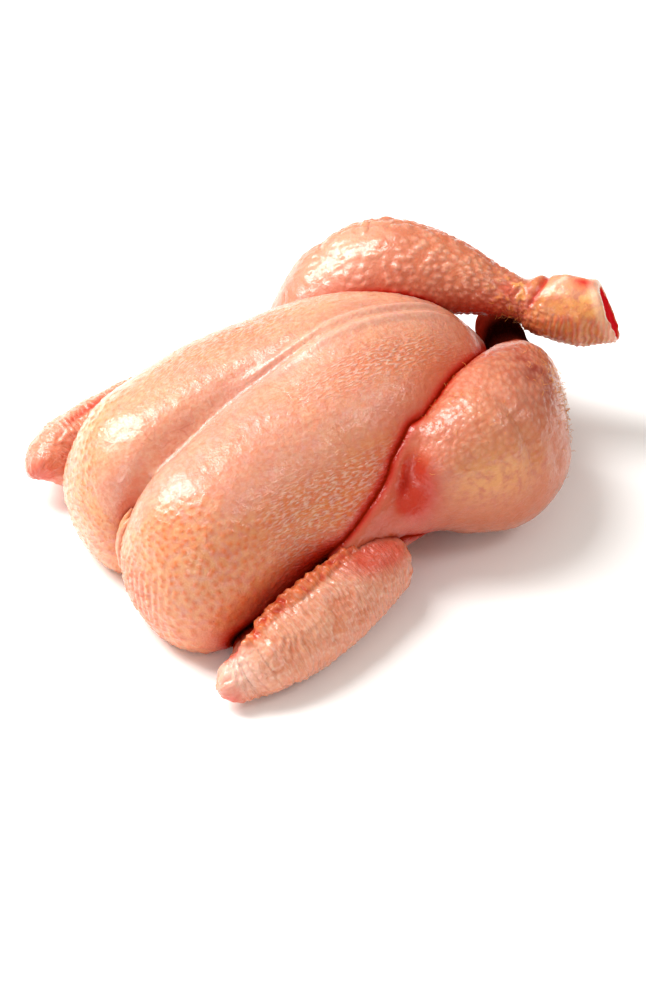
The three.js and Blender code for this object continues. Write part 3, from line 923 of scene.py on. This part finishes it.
def crevice_relief(skin):
    """The crease along the top of the left wing, where the skin is folded in and red with painted crease
    shade.
    """
    crevice = bell(np.maximum(LEFT_WING_CREVICE(skin.points), 0), 1.8)
    skin.paint("ruddy_and_shade", np.full(len(skin.points), 0.5), crevice)
    skin.paint("red_and_crease_shade", 0.8 * crevice)
    return -1.6 * crevice


def wing_skin_over(form, low, high, wing, relief):
    """One wing's skin with cross wrinkles, its colours and what only that wing has."""
    skin = Skin(lying(form, trunk_form, TUCK), low, high, WING_MESH_MM)
    points, paint = skin.points, skin.paint
    along, angle = wing["fore"].girth(points)
    warp = along + 2.6 * lumps(points, 10, 7) + 4 * np.sin(angle)
    wrinkle = np.sin(warp * 2 * math.pi / WRINKLE_MM) * (0.5 + 0.7 * lumps(points, 9, 12))
    height = 0.38 * wrinkle + 1.0 * lumps(points, 9, 8) + 0.55 * lumps(points, 2.8, 9)
    # Ruddier on the underside and in the wrinkles' valleys: partly painted shade, partly the skin's own tone.
    shaded_underside = 1 - smooth_step(skin.facing @ PALEST_FACING, -0.3, 0.6)
    paint("ruddy_and_shade", 0.8 * shaded_underside, 0.9 * smooth_step(-height, -0.1, 0.7))
    paint("streak", np.full(len(points), 0.3))
    # Painted crease shade in red beside the trunk, and the skin's own red at the elbow and the wrists.
    paint("red_and_crease_shade", crease_shade(trunk_form, points, 3.5, 7, 0.5), 0.7 * np.minimum(1.6 * patch(points, *ELBOW_RED), 1))
    for place, strength in ((WRIST_RED, 0.8), (WRIST_INNER_RED, 0.8), (LEFT_WRIST_RED, 0.7)):
        paint("red_and_crease_shade", strength * patch(points, *place))
    # Near-black painted shade deep in the crease against the trunk.
    paint("painted_shade", bell(np.maximum(trunk_form(points), 0), 3.4))
    paint("pale_and_highlight", 0.8 * patch(points, *WRIST_PALE))
    skin.raise_by(height + 1.5 * patch(points, *ELBOW) + 1.8 * patch(points, *WRIST) + relief(skin))
    return skin, along, angle * WING_RADIUS


wing_skin = raw_skin("raw_wing_skin", WING_COLOURS)
for name, form, box, wing, relief in (
    ("right_wing", right_wing_form, RIGHT_WING_BOX, RIGHT_WING, frill_relief),
    ("left_wing", left_wing_form, LEFT_WING_BOX, LEFT_WING, crevice_relief),
):
    skin, along, around = wing_skin_over(form, *box, wing, relief)
    finish_skin(skin.piece(name, around, along), wing_skin)

# The neck skin: the cut end of the neck's skin lies tucked in thin folds in the cleft between the two
# breast lobes. It is loose skin, greyer than the rest because it is fatty and doesn't cover any meat.
NECK_FOLDS = [
    Limb([
        (-97, -8, 50, 0.8), (-101.5, -8.5, 44, 1.8), (-104, -8.8, 36, 2.2), (-104.5, -9, 24, 2.2),
        (-99, -9, 10, 2.0),
    ]),
    Limb([(-99, -11, 48, 0.8), (-104, -11.6, 42, 1.6), (-106, -12, 34, 1.8), (-106, -12.4, 22, 1.8)]),
    Limb([(-96, -5, 46, 0.8), (-100, -5.5, 40, 1.5), (-102, -6, 32, 1.7), (-102.5, -6.4, 22, 1.6)]),
]
FOLD_BLEND = 0.8
NECK_TUCK = 4.5
NECK_MESH_MM = 0.6
NECK_BOX = ((-114, -20, -3), (-80, 6, 76))
NECK_COLOURS = dict(SKIN_COLOURS, skin="#D79C7C", peach="#C99A74", pink="#C98872")


def neck_form(points):
    form = NECK_FOLDS[0](points)
    for fold in NECK_FOLDS[1:]:
        form = soft_join(form, fold(points), FOLD_BLEND)
    return form


skin = Skin(lying(neck_form, trunk_form, NECK_TUCK), *NECK_BOX, NECK_MESH_MM)
skin.raise_by(0.35 * lumps(skin.points, 3, 41) + 0.3 * lumps(skin.points, 8, 42))
# Painted crease shade in red where the folds meet the trunk.
skin.paint("red_and_crease_shade", 0.55 * crease_shade(trunk_form, skin.points, 1.2, 3, 0.35))
skin.paint("fat", 0.2 + 0.3 * lumps(skin.points, 5, 43))
neck = skin.piece("neck_skin", skin.points[:, 2], skin.points[:, 1])
finish_skin(neck, raw_skin("raw_neck_skin", NECK_COLOURS))

# The trunk's skin: thin and stretched over the breast, with the two edges of the breast meat showing as
# ridges beside the bone. Feather follicles stand out on the flanks and the front, and the front below the
# right lobe is pleated. The creases against the legs and wings carry painted shade, red and partly the
# skin's own, and dark where they are deep.
FRONT_X = -66            # the breast turns down towards the neck in front of here
FRONT_RADIUS = 44
SIDE_RADIUS = 52
FOLLICLE_MM = 4.2
PLEAT_MM = 3.7
TRUNK_MESH_MM = 1.15
TRUNK_BOX = ((-122, -86, -4), (130, 84, 112))
# Places on the trunk's skin. Each is the middle and the half sizes of a soft patch.
STREAKS_RIGHT = ((30, -26, 98), (45, 9, 20))
STREAKS_LEFT = ((-10, 40, 90), (60, 20, 30))
RED_SHOULDER = ((-92, -70, 20), (22, 18, 14))
RED_LEFT_FRONT = ((-106, 22, 42), (14, 20, 22))
# Red-brown and red beside the right leg's crease: painted shade, partly the skin's own red there.
SHADE_RED_BY_LEG = ((62, -38, 84), (34, 18, 26))
SHADE_FLUSH_BY_LEG = ((66, -36, 78), (30, 14, 20))
FAT_FLANK = ((-22, -67, 58), (34, 11, 12))
FAT_BY_KNEE = ((10, -58, 72), (30, 12, 14))
FAT_SHOULDER = ((-88, -62, 28), (12, 12, 14))
# Painted shade in violet-red along the groove over the breast bone.
SHADE_IN_GROOVE = ((-40, -3, 88), (55, 7, 14))
PALE_BY_LEG = ((78, 19, 86), (22, 10, 12))
HAZY_LOBE = ((-25, -24, 92), (60, 17, 22))
HAZY_FRONT = ((-78, -22, 66), (22, 16, 24))

skin = Skin(trunk_form, *TRUNK_BOX, TRUNK_MESH_MM)
points, paint = skin.points, skin.paint
aside = from_breast_bone(points)
x, y, z = points.T
front_turn = np.arctan2(np.maximum(FRONT_X - x, 0), np.hypot(np.abs(aside) - 20, z - 42) + 1e-6)
along = np.where(x < FRONT_X, FRONT_X - FRONT_RADIUS * front_turn, x)
around = SIDE_RADIUS * np.arctan2(np.abs(aside), z - 38)

flank = smooth_step(around, 44, 60) * (1 - smooth_step(x, 25, 60)) * smooth_step(z, 14, 30)
front = 1 - smooth_step(x, -92, -60)
stippled = np.maximum.reduce([
    flank, 0.3 * (1 - bell(aside, 14)),
    front * smooth_step(around, 26, 44) * (1 - smooth_step(np.abs(aside), 58, 66)),
])
dots = bell(follicles(along, around, FOLLICLE_MM, 1, 0.75), 1.15)
meridian = np.arctan2(-(aside + 26), -(x + 64)) * FRONT_RADIUS
in_front = smooth_step(meridian, -22, -14) * (1 - smooth_step(meridian, 4, 34))
lower_front = in_front * (1 - smooth_step(z, 34, 60)) * (x < -70) * (aside < 0)
pleats = 0.5 + 0.5 * np.cos(meridian * 2 * math.pi / PLEAT_MM + 1.2 * lumps(points, 14, 11))
crease_line = bell(aside + 1.5, 1.1) * (1 - smooth_step(x, -45, -5)) * (z > 50)
on_keel = smooth_step(x, -45, 0) * (1 - smooth_step(x, 70, 95)) * (z > 60)
ridges = bell(aside - 3.5, 2.2) + bell(aside + 4.5, 2.6)
cleft = front * bell(aside - 3, 2.5) * (1 - smooth_step(z, 46, 62))

paint(
    "streak", 0.9 * patch(points, *STREAKS_RIGHT), 0.9 * patch(points, *STREAKS_LEFT),
    flank * smooth_step(x, -72, -40),
)
skin.raise_by(
    0.6 * dots * stippled - 0.7 * crease_line + 1.7 * on_keel * ridges
    + 0.8 * lower_front * pleats + 0.45 * lumps(points, 16, 3) + 0.22 * lumps(points, 4, 4)
)
points = skin.points
# Ruddier on the sides turned down and away from the light: partly painted shade, partly the thicker skin's
# own tone.
paint("ruddy_and_shade", 0.65 * (1 - smooth_step(skin.facing @ PALEST_FACING, -0.15, 0.8)))
for mask, place, strength in (
    ("ruddy_and_shade", RED_SHOULDER, 0.9), ("ruddy_and_shade", RED_LEFT_FRONT, 0.55), ("ruddy_and_shade", SHADE_RED_BY_LEG, 0.9),
    ("red_and_crease_shade", SHADE_FLUSH_BY_LEG, 0.4),
    ("fat", FAT_FLANK, 1.0), ("fat", FAT_BY_KNEE, 0.5), ("fat", FAT_SHOULDER, 0.5),
    ("bruise_and_shade", SHADE_IN_GROOVE, 0.22), ("pale_and_highlight", PALE_BY_LEG, 0.35),
    ("haze", HAZY_LOBE, 0.75), ("haze", HAZY_FRONT, 0.6),
):
    paint(mask, strength * patch(points, *place))
# Painted crease shade in red beside the legs and wings, partly the skin's own red there.
for form, narrow, wide, strength in (
    (right_leg_form, 2.8, 13, 0.65), (left_leg_form, 2.4, 6, 0.2),
    (right_wing_form, 6, 13, 0.55), (left_wing_form, 4, 8, 0.4),
):
    paint("red_and_crease_shade", crease_shade(form, points, narrow, wide, strength))
# Red in the cleft at the neck and between the pleats: partly the skin's own, partly painted shade in these
# hollows.
paint("red_and_crease_shade", 0.45 * cleft, 0.4 * lower_front * (1 - pleats))
# Near-black painted shade deep in the creases against the right wing and the right leg.
paint("painted_shade", bell(np.maximum(right_wing_form(points), 0), 3.2))
paint("painted_shade", 0.6 * bell(np.maximum(right_leg_form(points), 0), 1.6))
paint("fat", 0.4 * stippled)
# Painted shade in violet-red beside the keel's ridges.
paint("bruise_and_shade", 0.22 * on_keel * bell(aside - 9, 5))
# Painted highlight along the crease line and on the keel's ridges.
paint("pale_and_highlight", 0.1 * crease_line, 0.25 * on_keel * ridges)
paint("follicle", dots * stippled, 0.5 * lower_front * (1 - pleats))
finish_skin(skin.piece("breast_and_back", along, around), raw_skin("raw_breast_skin", SKIN_COLOURS))

# The floor: plain white paper, big enough to reach past the picture's edges. It is only there for the
# picture, and isn't part of the bird.
FLOOR_HALF = 4.0
floor_corners = [(x * FLOOR_HALF, y * FLOOR_HALF, 0) for x, y in ((-1, -1), (1, -1), (1, 1), (-1, 1))]
floor_mesh = bpy.data.meshes.new("floor")
floor_mesh.from_pydata(floor_corners, [], [(0, 1, 2, 3)])
floor = bpy.data.objects.new("floor", floor_mesh)
bpy.context.collection.objects.link(floor)
# Paper is matt, so it mirrors nothing of the bird and shows only its soft shadow.
white_paper = bpy.data.materials.new("white_paper")
white_paper.use_nodes = True
paper = white_paper.node_tree.nodes["Principled BSDF"]
paper.inputs["Base Color"].default_value = linear("#FFFEFC")
paper.inputs["Roughness"].default_value = 0.7
floor_mesh.materials.append(white_paper)

# The light: one large soft box over the bird and behind it, and two weak ones that lift the shadows.
# Place in metres, width, height and watts of each.
LIGHTS = {
    "key": ((-0.52, 0.68, 1.10), 0.55, 1.25, 31.0),
    "right_fill": ((0.6, -0.62, 0.95), 0.35, 0.35, 2.3),
    "left_kick": ((-0.95, -0.75, 0.42), 0.4, 0.4, 2.2),
}
for name, (place, wide, tall, watts) in LIGHTS.items():
    light = bpy.data.lights.new(name, "AREA")
    light.shape = "RECTANGLE"
    light.size = wide
    light.size_y = tall
    light.energy = watts
    holder = bpy.data.objects.new(name, light)
    holder.location = place
    holder.rotation_euler = (-Vector(place)).to_track_quat("-Z", "Y").to_euler()
    bpy.context.collection.objects.link(holder)

# The room gives soft light, but the water film mirrors little of it, as in a studio with dark walls.
ROOM_LIGHT = 0.56
ROOM_MIRRORED = 0.2
ROOM_COLOUR = (1.0, 0.97, 0.925, 1.0)
world = bpy.data.worlds.new("studio")
world.use_nodes = True
room = world.node_tree
mirrored = add_node(room, "ShaderNodeLightPath").outputs["Is Glossy Ray"]
strength = add_node(
    room, "ShaderNodeMapRange", Value=mirrored, To_Min=ROOM_LIGHT, To_Max=ROOM_LIGHT * ROOM_MIRRORED,
)
room.nodes["Background"].inputs["Color"].default_value = ROOM_COLOUR
room.links.new(strength.outputs["Result"], room.nodes["Background"].inputs["Strength"])
bpy.context.scene.world = world
bpy.context.scene.view_settings.view_transform = "Standard"
bpy.context.scene.view_settings.gamma = 0.95

# The camera looks down on the bird from its right shoulder, as the photograph does. Its place
# is worked out from the point it looks at, a direction and a distance.
LOOK_AT = Vector((-0.0165, 0.0059, -0.003))
CAMERA_AZIMUTH = math.radians(-32)
CAMERA_ELEVATION = math.radians(42)
CAMERA_DISTANCE = 1.3
LENS_MM = 93.6
towards_camera = Vector((
    math.sin(CAMERA_AZIMUTH) * math.cos(CAMERA_ELEVATION),
    -math.cos(CAMERA_AZIMUTH) * math.cos(CAMERA_ELEVATION),
    math.sin(CAMERA_ELEVATION),
))
camera = bpy.data.objects.new("camera", bpy.data.cameras.new("camera"))
camera.data.lens = LENS_MM
camera.location = LOOK_AT + towards_camera * CAMERA_DISTANCE
camera.rotation_euler = (-towards_camera).to_track_quat("-Z", "Y").to_euler()
bpy.context.collection.objects.link(camera)
bpy.context.scene.camera = camera
